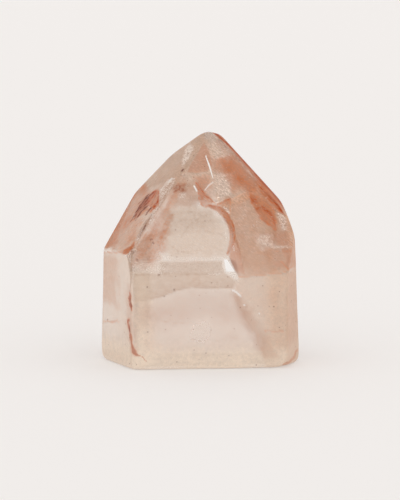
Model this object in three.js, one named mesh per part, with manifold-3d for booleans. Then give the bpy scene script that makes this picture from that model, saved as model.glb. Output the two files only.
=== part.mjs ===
// A lemurian quartz tower: a six-sided quartz crystal, cut flat under the base and polished all over.
// It is one stone, so it is one solid. Millimetres, +Z up along the crystal, the base on Z = 0,
// and the wide front face toward -Y.
//
// The stone is made the way a lapidary reads it: flat polished faces, each with the direction it looks
// in and its distance from the middle of the base. What lies inside all the faces is the stone.
// Wear rounds every edge to one small radius, and a few chips are then taken out of the skin.
import * as THREE from 'three';
import { ConvexHull } from 'three/addons/math/ConvexHull.js';
import Module from 'manifold-3d';

const DEG = Math.PI / 180;

// Wear. Every edge is rounded to this radius, drawn in so many steps.
const EDGE_RADIUS = 0.7;
const EDGE_STEPS = 4;

// The base the tower stands on.
const BASE = { azimuth: 0, rise: -90, out: 0 };

// The sides of the prism. Azimuth 0 looks to the front and grows to the right, rise is how far the face
// looks upward, and out is its distance from the middle of the base. The back right corner is taken off
// by a second, leaning face that widens upward.
const FRONT = { azimuth: 4.5, rise: -1, out: 18.8 };
const LEFT = { azimuth: -61.5, rise: -1, out: 25 };
const RIGHT = { azimuth: 72.5, rise: 0, out: 27.1 };
const BACK = { azimuth: 181, rise: 0.5, out: 18.3 };
const BACK_LEFT = { azimuth: -117, rise: 4, out: 22.1 };
const BACK_RIGHT = { azimuth: 107.5, rise: 5, out: 23.6 };
const BACK_RIGHT_LEANING = { azimuth: 147, rise: 11.5, out: 23.7 };

// The six faces of the point. They don't meet quite in one place, so the tip is a short worn ridge.
const POINT_FRONT = { azimuth: 4.5, rise: 34.5, out: 30.5 };
const POINT_LEFT = { azimuth: -64, rise: 44.5, out: 39.6 };
const POINT_RIGHT = { azimuth: 63, rise: 47, out: 45.1 };
const POINT_BACK = { azimuth: 181, rise: 27, out: 33.2 };
const POINT_BACK_LEFT = { azimuth: -125, rise: 33.5, out: 39.6 };
const POINT_BACK_RIGHT = { azimuth: 116.5, rise: 32, out: 38 };

// Narrow faces: a steep one under the right shoulder, a soft bevel along the front shoulder that is
// wider at the left, a worn bevel down the front left edge of the point, and a rubbed foot corner.
const SHOULDER_RIGHT = { azimuth: 91, rise: 18.5, out: 34.3 };
const SHOULDER_FRONT = { azimuth: 3, rise: 17, out: 25.2 };
const POINT_EDGE = { azimuth: -24, rise: 45, out: 37.9 };
const FOOT_CORNER = { azimuth: 45, rise: -42, out: 19.9 };
const TIP = { azimuth: 60, rise: 72, out: 56.9 };

const FACES = [
  BASE,
  FRONT, LEFT, RIGHT, BACK, BACK_LEFT, BACK_RIGHT, BACK_RIGHT_LEANING,
  POINT_FRONT, POINT_LEFT, POINT_RIGHT, POINT_BACK, POINT_BACK_LEFT, POINT_BACK_RIGHT,
  SHOULDER_RIGHT, SHOULDER_FRONT, POINT_EDGE, FOOT_CORNER, TIP,
];

// Shallow chips: where each sits on its face (across = X, up = Z), how wide it is and how deep.
const CHIPS = [
  { face: SHOULDER_FRONT, across: -10.4, up: 25.0, width: 1.1, depth: 0.22 },
  { face: FRONT, across: -13.4, up: 22.6, width: 0.8, depth: 0.16 },
  { face: FRONT, across: -6.9, up: 21.2, width: 1.2, depth: 0.24 },
  { face: FRONT, across: 0.5, up: 22.9, width: 0.9, depth: 0.18 },
  { face: FRONT, across: 4.3, up: 22.4, width: 1.3, depth: 0.26 },
  { face: FRONT, across: 3.6, up: 21.0, width: 0.7, depth: 0.14 },
  { face: FRONT, across: 11.8, up: 16.8, width: 0.8, depth: 0.15 },
  { face: FRONT, across: 15.9, up: 14.4, width: 0.8, depth: 0.15 },
  { face: LEFT, across: -18.6, up: 18.2, width: 1.8, depth: 0.3 },
  { face: LEFT, across: -18.5, up: 12.1, width: 2.2, depth: 0.34 },
  { face: LEFT, across: -22.2, up: 18.1, width: 0.8, depth: 0.15 },
  { face: LEFT, across: -24.4, up: 11.2, width: 0.9, depth: 0.16 },
  { face: LEFT, across: -20.4, up: 5.0, width: 1.0, depth: 0.18 },
  { face: POINT_EDGE, across: -4.6, up: 49.3, width: 1.3, depth: 0.4 },
];

// Material

function quartzMaterial() {
  return new THREE.MeshStandardMaterial({ color: 0xdccbbd, roughness: 0.06, metalness: 0 });
}

// Faces and corners

// The direction a face looks in.
function outward(face) {
  const flat = Math.cos(face.rise * DEG);
  return new THREE.Vector3(
    Math.sin(face.azimuth * DEG) * flat,
    -Math.cos(face.azimuth * DEG) * flat,
    Math.sin(face.rise * DEG),
  );
}

// Where three planes meet, each given as its normal and distance, or null when two are parallel.
function meeting(a, b, c) {
  const bc = new THREE.Vector3().crossVectors(b.normal, c.normal);
  const ca = new THREE.Vector3().crossVectors(c.normal, a.normal);
  const ab = new THREE.Vector3().crossVectors(a.normal, b.normal);
  const volume = a.normal.dot(bc);
  if (Math.abs(volume) < 1e-6) {
    return null;
  }
  return bc.multiplyScalar(a.distance)
    .addScaledVector(ca, b.distance)
    .addScaledVector(ab, c.distance)
    .divideScalar(volume);
}

// The corners of what lies inside all the planes, each with the planes that meet there.
function corners(planes) {
  const found = [];
  for (let i = 0; i < planes.length; i += 1) {
    for (let j = i + 1; j < planes.length; j += 1) {
      for (let k = j + 1; k < planes.length; k += 1) {
        const at = meeting(planes[i], planes[j], planes[k]);
        if (at && planes.every((plane) => plane.normal.dot(at) <= plane.distance + 1e-6)) {
          found.push({ at, planes: [planes[i], planes[j], planes[k]] });
        }
      }
    }
  }
  return found;
}

// The directions a ball at a corner shows between the three faces there: a small curved triangle.
function roundedDirections(planes) {
  const directions = [];
  for (let i = 0; i <= EDGE_STEPS; i += 1) {
    for (let j = 0; j <= EDGE_STEPS - i; j += 1) {
      const k = EDGE_STEPS - i - j;
      directions.push(
        new THREE.Vector3()
          .addScaledVector(planes[0].normal, i)
          .addScaledVector(planes[1].normal, j)
          .addScaledVector(planes[2].normal, k)
          .normalize(),
      );
    }
  }
  return directions;
}

// Solids

// A closed solid from a list of corner points and the triangles between them.
function closedSolid(wasm, points, triangles) {
  return new wasm.Manifold(new wasm.Mesh({
    numProp: 3,
    vertProperties: new Float32Array(points.flatMap((p) => [p.x, p.y, p.z])),
    triVerts: new Uint32Array(triangles.flat()),
  }));
}

// The tightest skin round a set of points.
function wrapped(wasm, points) {
  const hull = new ConvexHull().setFromPoints(points);
  const kept = [];
  const places = new Map();
  const place = (point) => {
    if (!places.has(point)) {
      places.set(point, kept.length);
      kept.push(point);
    }
    return places.get(point);
  };
  const triangles = [];
  for (const face of hull.faces) {
    const ring = [];
    let edge = face.edge;
    do {
      ring.push(place(edge.head().point));
      edge = edge.next;
    } while (edge !== face.edge);
    for (let i = 1; i + 1 < ring.length; i += 1) {
      triangles.push([ring[0], ring[i], ring[i + 1]]);
    }
  }
  return closedSolid(wasm, kept, triangles);
}

// The polished stone: its faces moved in by the edge radius, with a ball of that radius at each corner.
function polishedStone(wasm) {
  const inner = FACES.map((face) => ({ normal: outward(face), distance: face.out - EDGE_RADIUS }));
  const points = [];
  for (const corner of corners(inner)) {
    for (const direction of roundedDirections(corner.planes)) {
      points.push(corner.at.clone().addScaledVector(direction, EDGE_RADIUS));
    }
  }
  return wrapped(wasm, points);
}

// A point on a face, from how far across and how far up it is.
function onFace(face, across, up) {
  const normal = outward(face);
  return new THREE.Vector3(across, (face.out - normal.x * across - normal.z * up) / normal.y, up);
}

// The ball that takes a chip of a given width and depth out of a face.
function chipBall(wasm, chip) {
  const radius = (chip.width * chip.width / 4 + chip.depth * chip.depth) / (2 * chip.depth);
  const middle = onFace(chip.face, chip.across, chip.up)
    .addScaledVector(outward(chip.face), radius - chip.depth);
  const ball = new THREE.IcosahedronGeometry(radius, 5);
  const spots = ball.getAttribute('position');
  const points = [];
  for (let i = 0; i < spots.count; i += 1) {
    points.push(new THREE.Vector3().fromBufferAttribute(spots, i).add(middle));
  }
  return wrapped(wasm, points);
}

// The whole stone with its chips taken out, slid until its outline is centred over the origin.
function chippedStone(wasm) {
  let stone = polishedStone(wasm);
  for (const chip of CHIPS) {
    stone = stone.subtract(chipBall(wasm, chip));
  }
  const box = stone.boundingBox();
  return stone.translate([-(box.min[0] + box.max[0]) / 2, -(box.min[1] + box.max[1]) / 2, 0]);
}

// The tower

function quartzTower(wasm) {
  const mesh = chippedStone(wasm).getMesh();
  const geometry = new THREE.BufferGeometry();
  geometry.setAttribute('position', new THREE.BufferAttribute(mesh.vertProperties, 3));
  geometry.setIndex(new THREE.BufferAttribute(mesh.triVerts, 1));
  const tower = new THREE.Mesh(geometry, quartzMaterial());
  tower.name = 'quartz_tower';
  return tower;
}

const wasm = await Module();
wasm.setup();

const object = new THREE.Group();
object.name = 'lemurian_quartz_tower';
object.add(quartzTower(wasm));

export default object;
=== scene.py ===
# %% [markdown]
# # A lemurian quartz tower, photographed on a pale sheet
#
# The object is one stone: a squat six-sided quartz crystal, sawn flat under the base and polished all
# over. It is see-through and warm beige, with rust that crept into its cracks and a band of frosted
# skin at the shoulder.
#
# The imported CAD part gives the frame, the size and the flat faces. This script makes the finer skin
# over it, the marks drawn on that skin, the quartz, and the light. Every number is in metres in the
# end, but the stone's own sizes are written in millimetres, as a stone cutter would.

# %% Frame
import math
from itertools import combinations

import bpy
import numpy as np
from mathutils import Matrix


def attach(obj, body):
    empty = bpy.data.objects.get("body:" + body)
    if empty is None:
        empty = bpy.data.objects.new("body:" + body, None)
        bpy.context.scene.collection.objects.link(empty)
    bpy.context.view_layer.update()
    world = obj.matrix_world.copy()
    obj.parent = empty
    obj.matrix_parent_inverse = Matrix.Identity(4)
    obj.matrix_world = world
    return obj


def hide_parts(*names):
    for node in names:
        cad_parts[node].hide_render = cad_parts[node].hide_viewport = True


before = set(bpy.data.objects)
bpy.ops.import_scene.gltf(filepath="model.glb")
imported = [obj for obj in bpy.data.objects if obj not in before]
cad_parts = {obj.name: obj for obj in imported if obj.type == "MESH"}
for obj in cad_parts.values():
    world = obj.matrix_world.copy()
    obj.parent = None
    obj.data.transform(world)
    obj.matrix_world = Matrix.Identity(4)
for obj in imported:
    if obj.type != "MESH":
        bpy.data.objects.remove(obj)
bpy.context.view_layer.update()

MM = 0.001


# %% [markdown]
# ## The faces of the stone
#
# A polished crystal is easiest to describe the way it was cut: each flat face has a direction it looks
# in and a distance from the middle of the base. What lies inside all the faces is the stone. These are
# the same faces as in the CAD part. The base and the sides come first, then the faces of the point, and
# then the narrow ones that wear and repair left behind.

# %% Faces
FACES = {
    # name: (azimuth from the front, rise above level, distance out in mm)
    "base": (0, -90, 0),
    "front": (4.5, -1, 18.8),
    "left": (-61.5, -1, 25),
    "right": (72.5, 0, 27.1),
    "back": (181, 0.5, 18.3),
    "back_left": (-117, 4, 22.1),
    "back_right": (107.5, 5, 23.6),
    "back_right_leaning": (147, 11.5, 23.7),
    "point_front": (4.5, 34.5, 30.5),
    "point_left": (-64, 44.5, 39.6),
    "point_right": (63, 47, 45.1),
    "point_back": (181, 27, 33.2),
    "point_back_left": (-125, 33.5, 39.6),
    "point_back_right": (116.5, 32, 38),
    "shoulder_right": (91, 18.5, 34.3),
    "shoulder_front": (3, 17, 25.2),
    "point_edge": (-24, 45, 37.9),
    "foot_corner": (45, -42, 19.9),
    "tip": (60, 72, 56.9),
}
CAD_EDGE_RADIUS = 0.7
TINY = 1e-6


def looking(azimuth, rise):
    """The unit vector that turns by azimuth from the front (-Y) to the right, then up by rise."""
    a, e = math.radians(azimuth), math.radians(rise)
    return np.array([math.sin(a) * math.cos(e), -math.cos(a) * math.cos(e), math.sin(e)])


NAMES = list(FACES)
NORMALS = np.array([looking(azimuth, rise) for azimuth, rise, _ in FACES.values()])
OUTS = np.array([out for _, _, out in FACES.values()], float)


def corners(normals, outs):
    """Where three planes meet, kept when the point is inside all the other planes too."""
    found = []
    for trio in combinations(range(len(outs)), 3):
        rows = normals[list(trio)]
        if abs(np.linalg.det(rows)) < TINY:
            continue
        at = np.linalg.solve(rows, outs[list(trio)])
        if np.all(normals @ at <= outs + TINY):
            found.append(at)
    return np.array(found)


# The CAD part slides the stone until its outline is centred over the origin. This is the same slide.
inner = corners(NORMALS, OUTS - CAD_EDGE_RADIUS)
SLIDE = -(inner.min(axis=0) + inner.max(axis=0)) / 2
SLIDE[2] = 0.0
print("slide, mm:", np.round(SLIDE, 3))


# %% [markdown]
# ## The camera
#
# The photo was taken with a long lens a little above the stone. A long lens keeps upright edges nearly
# parallel, which is why the tower doesn't seem to lean. Making the camera early means every later
# piece can be judged in the photo's own framing.

# %% Camera
VIEW_RISE = 8.0
VIEW_DISTANCE = 600.0
VIEW_AIM = np.array([-0.02, 0.0, 28.9])
FOCAL_IN_PIXELS = 2244.8
LONG_SIDE_PIXELS = 500
SENSOR = 36.0


def make_camera():
    """A camera at the given distance and rise from its aim, looking along +Y and a little down."""
    lens = bpy.data.cameras.new("camera")
    lens.sensor_width = SENSOR
    lens.lens = SENSOR * FOCAL_IN_PIXELS / LONG_SIDE_PIXELS
    lens.clip_start = 0.01
    body = bpy.data.objects.new("camera", lens)
    bpy.context.scene.collection.objects.link(body)
    rise = math.radians(VIEW_RISE)
    back = np.array([0.0, -math.cos(rise), math.sin(rise)])
    body.location = ((VIEW_AIM + SLIDE + back * VIEW_DISTANCE) * MM).tolist()
    body.rotation_euler = (math.pi / 2 - rise, 0.0, 0.0)
    bpy.context.scene.camera = body
    return body


camera = make_camera()
print("lens, mm:", round(camera.data.lens, 1))


# %% [markdown]
# ## Noise for a natural surface
#
# Nothing on a stone is even. A lattice of random numbers, blended smoothly between its points, gives a
# soft random field. Adding a few of them, each finer and weaker than the last, gives the uneven look
# of natural stone. The random numbers come from a sum of sines with large factors, so they are the
# same on every run.

# %% Noise
def lattice_value(ix, iy, iz, seed):
    """A repeatable random number from 0 to 1 for each whole-numbered lattice point."""
    mixed = np.sin(ix * 127.1 + iy * 311.7 + iz * 74.7 + seed * 53.3) * 43758.5453
    return mixed - np.floor(mixed)


def soft_noise(points, size, seed=0):
    """Smooth noise from 0 to 1: lattice values one size apart, blended by a smooth step on each axis."""
    scaled = points / size
    cell = np.floor(scaled)
    part = scaled - cell
    part = part * part * (3 - 2 * part)
    total = 0.0
    for dx in (0, 1):
        for dy in (0, 1):
            for dz in (0, 1):
                weight = (np.where(dx, part[..., 0], 1 - part[..., 0])
                          * np.where(dy, part[..., 1], 1 - part[..., 1])
                          * np.where(dz, part[..., 2], 1 - part[..., 2]))
                total = total + weight * lattice_value(
                    cell[..., 0] + dx, cell[..., 1] + dy, cell[..., 2] + dz, seed)
    return total


def cloud_noise(points, size, layers=4, seed=0):
    """Layers of smooth noise, each half the size and half the weight of the last, from 0 to 1."""
    total, weight = 0.0, 0.0
    for layer in range(layers):
        share = 0.5 ** layer
        total = total + share * soft_noise(points, size * share, seed + 17 * layer)
        weight += share
    return total / weight


def smooth_step(low, high, value):
    """0 below low, 1 above high, and a smooth S between."""
    t = np.clip((value - low) / (high - low), 0.0, 1.0)
    return t * t * (3 - 2 * t)


# %% [markdown]
# ## The skin of the stone
#
# The skin is one surface with two parameters: u goes round the stone and v goes from the tip down the
# sides and under the base. Each (u, v) gives a ray from inside the stone, and the skin is where the
# ray leaves it.
#
# Taking the largest of the face distances gives knife edges. Polishing rounds them, so a soft maximum
# is used: the logarithm of a sum of exponentials. It follows a flat face exactly and turns smoothly
# where two faces meet. One number, the sharpness, says how tight the turn is, and it varies a little
# over the stone as wear does.

# %% Skin
AROUND, DOWN = 480, 206
CORE = np.array([1.0, 0.5, 24.0])
SHARPNESS = 4.5
FOOT_WEAR = 0.6
WEAR_SIZE = 7.0
FOOT_FADE = (0.5, 5.0)
FRONT_FADE = (6.0, -2.0)


def face_distances(points):
    """How far each point is outside each face: below 0 is inside."""
    return points @ NORMALS.T - OUTS


def soft_distance(points, sharpness):
    """The soft maximum of the face distances, and the direction the skin looks in there."""
    far = face_distances(points) * sharpness[..., None]
    top = far.max(axis=-1, keepdims=True)
    weights = np.exp(far - top)
    total = weights.sum(axis=-1, keepdims=True)
    height = (top[..., 0] + np.log(total[..., 0])) / sharpness
    normal = (weights / total) @ NORMALS
    return height, normal


def edge_sharpness(points):
    """Sharpness over the stone: blunter where the wear noise is high, and round the foot in front."""
    wear = soft_noise(points, WEAR_SIZE, seed=3)
    foot = (1 - smooth_step(*FOOT_FADE, points[..., 2])) * smooth_step(*FRONT_FADE, points[..., 1])
    return SHARPNESS * (1.15 - 0.45 * wear) * (1 - FOOT_WEAR * foot)


FRONT_SHARE = 3.2
DENSE_FADE = (2.0, -4.0)
OUTLINE_HEIGHT = 1.0


def even_steps(outline, count):
    """Parameters that divide a closed outline of points into equal lengths, with FRONT_SHARE times as
    many points in front, where the finest marks are."""
    steps = np.linalg.norm(np.diff(outline, axis=0), axis=1)
    steps *= 1 + (FRONT_SHARE - 1) * smooth_step(*DENSE_FADE, outline[1:, 1])
    length = np.concatenate([[0.0], np.cumsum(steps)])
    return np.interp(np.arange(count) / count, length / length[-1], np.linspace(0, 1, len(length)))


def way_out(rays, start):
    """How far each ray goes from the start until it leaves the stone. For each face that the ray nears,
    that is the gap to the face over how fast the ray nears it, and the first face counts."""
    speed = rays @ NORMALS.T
    gap = OUTS - NORMALS @ start
    return np.where(speed > TINY, gap / np.maximum(speed, TINY), np.inf).min(axis=-1)


def foot_reach(turn):
    """Level rays from the core's axis just above the base, and how far each goes to the side faces."""
    rays = np.stack([np.sin(turn), -np.cos(turn), np.zeros_like(turn)], axis=-1)
    return rays, way_out(rays, np.array([CORE[0], CORE[1], OUTLINE_HEIGHT]))


def outline_turns():
    """Angles round the core that are evenly spaced along the stone's outline, not evenly in angle."""
    rays, reach = foot_reach(np.linspace(0, 2 * math.pi, 2001))
    return 2 * math.pi * even_steps(rays * reach[:, None], AROUND)


# A rough upright profile of the stone from above the tip to under the base: the share of the way out to
# the side faces, and the height in mm. It only sets how the rows of the grid are shared out.
PROFILE = np.array([(0.0, 62.0), (0.06, 61.0), (0.96, 30.0), (1.0, 1.4), (1.0, 0.2), (0.96, -0.2),
                    (0.0, -0.2)])
PROFILE_SHARE = np.array([0.02, 0.49, 0.37, 0.05, 0.04, 0.03])
NEWTON_STEPS = 8
LEAST_SPEED = 0.2


def profile_points():
    """Points down the rough profile, with each of its stretches given its share of the rows."""
    ends = np.concatenate([[0.0], np.cumsum(PROFILE_SHARE)])
    v = np.linspace(0, 1, DOWN + 1)
    return np.stack([np.interp(v, ends, PROFILE[:, 0]), np.interp(v, ends, PROFILE[:, 1])], axis=-1)


def skin_points():
    """Rays from the core through the rough profile at every turn. Each stops where the soft distance is
    zero, found by Newton's method: a step is the distance over how fast it grows along the ray."""
    turns = outline_turns()
    profile = profile_points()
    radius, height = profile[:, 0][:, None] * foot_reach(turns)[1][None, :], profile[:, 1][:, None]
    aim = np.stack([radius * np.sin(turns)[None, :], -radius * np.cos(turns)[None, :],
                    (height - CORE[2]) + 0 * turns[None, :]], axis=-1)
    rays = aim / np.linalg.norm(aim, axis=-1, keepdims=True)
    reach = way_out(rays, CORE)
    for _ in range(NEWTON_STEPS):
        points = CORE + rays * reach[..., None]
        off, normal = soft_distance(points, edge_sharpness(points))
        reach = reach - off / np.maximum((normal * rays).sum(axis=-1), LEAST_SPEED)
    points = CORE + rays * reach[..., None]
    _, normal = soft_distance(points, edge_sharpness(points))
    return points, normal / np.linalg.norm(normal, axis=-1, keepdims=True)


skin, skin_normal = skin_points()
print("skin grid:", skin.shape, "height, mm:", round(float(skin[..., 2].max()), 2))


# %% [markdown]
# ## Chips
#
# A polished edge still loses small flakes. Quartz has no cleavage, so a flake leaves a shallow round
# dish, as a ball pressed into clay would. Each chip is written by the face it is on, its place across
# and up the front of the stone, and its width and depth in millimetres.

# %% Chips
CHIPS = [
    # face, across, up, width, depth
    ("shoulder_front", -10.4, 25.0, 1.1, 0.22),
    ("front", -13.4, 22.6, 0.8, 0.16),
    ("front", -6.9, 21.2, 1.2, 0.24),
    ("front", 0.5, 22.9, 0.9, 0.18),
    ("front", 4.3, 22.4, 1.3, 0.26),
    ("front", 3.6, 21.0, 0.7, 0.14),
    ("front", 11.8, 16.8, 0.8, 0.15),
    ("front", 15.9, 14.4, 0.8, 0.15),
    ("left", -18.6, 18.2, 1.8, 0.30),
    ("left", -18.5, 12.1, 2.2, 0.34),
    ("left", -22.2, 18.1, 0.8, 0.15),
    ("left", -24.4, 11.2, 0.9, 0.16),
    ("left", -20.4, 5.0, 1.0, 0.18),
    ("point_edge", -4.6, 49.3, 1.3, 0.40),
]


def on_face(name, across, up):
    """The point of a face that is straight behind a place on the front drawing."""
    normal, out = NORMALS[NAMES.index(name)], OUTS[NAMES.index(name)]
    depth = (out - normal[0] * across - normal[2] * up) / normal[1]
    return np.array([across, depth, up])


def chipped(points, normal):
    """Moves the skin that is inside a chip's ball inwards, along the skin's own direction, until it is
    on the ball."""
    moved = points.copy()
    for name, across, up, width, depth in CHIPS:
        radius = (width ** 2 / 4 + depth ** 2) / (2 * depth)
        centre = on_face(name, across, up) + NORMALS[NAMES.index(name)] * (radius - depth)
        offset = moved - centre
        along = (offset * normal).sum(axis=-1)
        room = along ** 2 + radius ** 2 - (offset ** 2).sum(axis=-1)
        inside = (offset ** 2).sum(axis=-1) < radius ** 2
        push = np.where(inside, along + np.sqrt(np.maximum(room, 0.0)), 0.0)
        moved = moved - normal * push[..., None]
    return moved


# %% [markdown]
# ## A drawing of the front
#
# Rust water crept along the cracks and the worn edges, so the stains follow lines and fill corners. Each
# mark is measured in millimetres on a drawing of the front of the stone, x across and z up, and is laid
# straight back onto the faces that look forwards. An area is a closed outline with a soft ragged edge.
# A line is a path with a half width at each of its points.

# %% Areas and lines
SHAKE_SIZE = 1.8
LINE_FADE = (0.35, 1.1)
DEPTH_STRETCH = 9.0


def make_shake(points):
    """A small random push, across and up, for each place on the skin. It makes drawn edges ragged."""
    return 2 * np.stack([cloud_noise(points, SHAKE_SIZE, 4, seed) - 0.5 for seed in (5, 9)], axis=-1)


def shaken(points, amount):
    """Places on the front drawing, pushed by the shake times the amount."""
    return points[..., [0, 2]] + amount * SHAKE


def to_segment(spot, start, end):
    """How far each place is from a straight piece, and how far along it the nearest point lies."""
    run = np.subtract(end, start)
    share = np.clip(((spot - start) @ run) / (run @ run), 0.0, 1.0)
    return np.linalg.norm(spot - start - share[..., None] * run, axis=-1), share


def area(points, outline, soft, ragged):
    """1 inside a closed outline, 0 outside it, with an edge that fades over soft mm. A place is inside
    when a level line from it crosses the outline an odd number of times."""
    spot = shaken(points, ragged)
    nearest = np.full(spot.shape[:-1], np.inf)
    inside = np.zeros(spot.shape[:-1], bool)
    for start, end in zip(outline, outline[1:] + outline[:1]):
        start, end = np.array(start, float), np.array(end, float)
        nearest = np.minimum(nearest, to_segment(spot, start, end)[0])
        spans = (start[1] > spot[..., 1]) != (end[1] > spot[..., 1])
        rise = np.where(start[1] == end[1], 1e-9, end[1] - start[1])
        crossing = start[0] + (spot[..., 1] - start[1]) * (end[0] - start[0]) / rise
        inside ^= spans & (spot[..., 0] < crossing)
    return smooth_step(-soft / 2, soft / 2, np.where(inside, nearest, -nearest))


def line(points, path, ragged):
    """1 along a path of (x, z, half width), fading to 0 near the half width, with a ragged edge."""
    spot = shaken(points, ragged)
    mask = np.zeros(spot.shape[:-1])
    for (x0, z0, w0), (x1, z1, w1) in zip(path[:-1], path[1:]):
        far, share = to_segment(spot, np.array([x0, z0]), np.array([x1, z1]))
        half = w0 + (w1 - w0) * share
        mask = np.maximum(mask, 1 - smooth_step(LINE_FADE[0] * half, LINE_FADE[1] * half, far))
    return mask


def streaks(points, lean, length, width, fade, seed):
    """Streaky noise drawn out along a direction on the front drawing, lean degrees up from level. Fade
    says from which value to which it goes from 0 to 1."""
    turn = math.radians(lean)
    across, up = points[..., 0], points[..., 2]
    along = across * math.cos(turn) + up * math.sin(turn)
    aside = up * math.cos(turn) - across * math.sin(turn)
    drawn = np.stack([along / length, aside / width, points[..., 1] / DEPTH_STRETCH], axis=-1)
    return smooth_step(*fade, cloud_noise(drawn, 1.0, 3, seed))


def together(*layers):
    """Masks laid over each other: what none of them leaves bare."""
    bare = 1.0
    for layer in layers:
        bare = bare * (1 - np.clip(layer, 0.0, 1.0))
    return 1 - bare


def areas(p, rows):
    """Areas laid over each other. A row is an amount, an outline, and its softness and raggedness."""
    return together(*(amount * area(p, *shape) for amount, *shape in rows))


def streaked(p, rows, noise):
    """Areas as above whose amount goes up with a streaky noise: times plain + streaky * noise."""
    return together(*(amount * area(p, *shape) * (plain + streaky * noise)
                      for amount, plain, streaky, *shape in rows))


def lines(p, rows):
    """Lines laid over each other. A row is an amount, a raggedness and a path."""
    return together(*(amount * line(p, path, ragged) for amount, ragged, path in rows))


# %% [markdown]
# ## The outlines
#
# These are the zones that show on the front, from the point down to the foot. Each is a
# closed outline, with only as many corners as its shape needs. The kinds of mark further down share
# them: one zone may be milky, hazy and rusty at once.

# %% Outlines on the front drawing
LEFT_PATCH = [(-17.9, 37.6), (-17.0, 39.7), (-15.5, 42.1), (-13.6, 44.2), (-11.0, 45.5), (-10.9, 42.0),
    (-12.6, 40.5), (-14.2, 40.1), (-15.8, 38.7)]
LEFT_BAND = [(-16.9, 45.2), (-14.6, 46.4), (-13.6, 44.6), (-15.4, 41.9), (-17.5, 39.0), (-18.2, 37.2),
    (-20.0, 34.0), (-22.9, 31.1), (-25.8, 30.8), (-22.8, 35.7), (-19.7, 40.3)]
LEFT_WEDGE = [(-20.3, 30.1), (-19.8, 31.1), (-18.2, 32.2), (-17.1, 33.2), (-17.1, 32.2), (-18.1, 31.0),
    (-19.0, 30.1)]
LEFT_HATCH = [(-18.8, 38.0), (-16.2, 38.4), (-14.4, 38.6), (-15.8, 35.9), (-17.0, 33.9), (-18.8, 32.3),
    (-20.4, 30.9), (-25.2, 30.8), (-22.2, 35.8)]
RIM = [(3.3, 59.9), (6.4, 57.6), (11.1, 52.6), (15.6, 47.6), (18.8, 44.3), (21.7, 41.4), (23.1, 39.1),
    (25.4, 39.4), (21.0, 46.0), (12.0, 56.0), (4.4, 62.0), (2.6, 61.0)]
MIDDLE_WINDOW = [(-13.5, 16.0), (10.5, 16.0), (16.5, 5.0), (-14.5, 5.0)]
PALE_NECK = [(-4.2, 48.0), (-1.6, 47.8), (-0.6, 43.6), (-0.8, 41.6), (-7.0, 41.8), (-6.0, 44.8)]
DIAGONAL = [(7.8, 20.0), (10.4, 20.0), (14.6, 13.0), (17.6, 8.2), (20.6, 3.0), (16.4, 3.0), (12.8, 9.0),
    (10.2, 13.5)]
BESIDE_SECOND = [(16.2, 46.9), (18.8, 44.0), (21.1, 41.6), (21.7, 40.0), (20.2, 40.4), (18.2, 42.4),
    (15.6, 44.8)]
BESIDE_CURVE = [(8.9, 33.6), (7.6, 29.6), (7.9, 28.2), (9.4, 25.6), (11.6, 25.2), (10.6, 29.6),
    (10.0, 33.4)]
SIDE_STRIP = [(19.3, 35.4), (22.9, 35.2), (24.2, 32.1), (24.6, 27.3), (22.8, 27.7), (20.9, 32.1),
    (19.6, 33.9)]
RIGHT_EDGE = [(22.3, 40.0), (24.0, 26.0), (23.0, 25.4), (22.6, 0.0), (28.0, 0.0), (28.0, 36.0)]
CORE_SPOT = [(8.7, 49.6), (10.7, 49.4), (12.1, 47.1), (10.3, 46.9)]
RIGHT_STRIPES = [(15.1, 48.0), (17.0, 46.8), (19.8, 43.8), (21.9, 41.3), (22.1, 40.3), (20.0, 41.6),
    (17.9, 43.6), (15.8, 45.5)]
UPPER_CLOUD = [(3.3, 53.3), (8.0, 54.2), (10.9, 52.3), (14.2, 48.8), (16.4, 46.8), (15.5, 44.7),
    (13.2, 44.0), (9.9, 44.7), (7.7, 45.6), (7.4, 49.0), (3.3, 50.7)]
UPPER_CORE = [(4.8, 53.3), (7.7, 53.2), (10.1, 51.2), (12.4, 48.5), (14.8, 45.7), (13.2, 44.9),
    (10.6, 46.6), (8.2, 48.1), (6.9, 50.3)]
SECOND_PATCH = [(12.9, 44.7), (15.8, 44.4), (18.4, 42.4), (19.7, 40.2), (20.4, 36.2), (19.9, 35.6),
    (17.3, 37.2), (15.7, 38.9), (14.4, 40.2), (13.2, 42.6)]
SECOND_DARK = [(13.0, 44.5), (15.5, 44.2), (15.6, 42.2), (13.6, 42.2)]
TRIANGLE = [(-0.8, 47.2), (3.7, 42.7), (1.6, 41.5), (0.2, 42.2)]
SMALL_RUST = [(4.5, 42.4), (5.8, 43.2), (7.9, 43.9), (7.6, 42.2), (5.8, 41.7)]
APEX_TRIANGLE = [(1.0, 57.3), (-2.7, 51.6), (-3.3, 50.1), (-1.1, 49.9), (1.8, 50.1), (3.2, 51.8),
    (2.4, 55.6)]
UNDER_TRIANGLE = [(-1.3, 48.8), (2.4, 49.4), (3.0, 46.0), (1.8, 44.0), (-0.2, 43.3)]
SMUDGE = [(-7.3, 46.9), (-4.0, 47.3), (-3.7, 45.7), (-4.8, 45.1), (-7.1, 45.3)]
SMUDGE_WHITE = [(-5.9, 45.0), (-3.8, 45.2), (-4.0, 43.6), (-5.9, 43.4)]
CORNER_STAIN = [(-17.5, 33.5), (-13.1, 34.8), (-9.7, 35.5), (-9.4, 32.2), (-10.9, 29.3), (-14.0, 28.1),
    (-17.3, 28.4)]
ORANGE_TEXTURE = [(-6.1, 47.6), (-4.0, 47.6), (-5.6, 44.3), (-6.9, 42.1), (-7.8, 38.4), (-8.2, 35.4),
    (-9.8, 33.4), (-15.6, 33.9), (-13.1, 37.4), (-10.5, 41.3), (-8.5, 44.2)]
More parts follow.
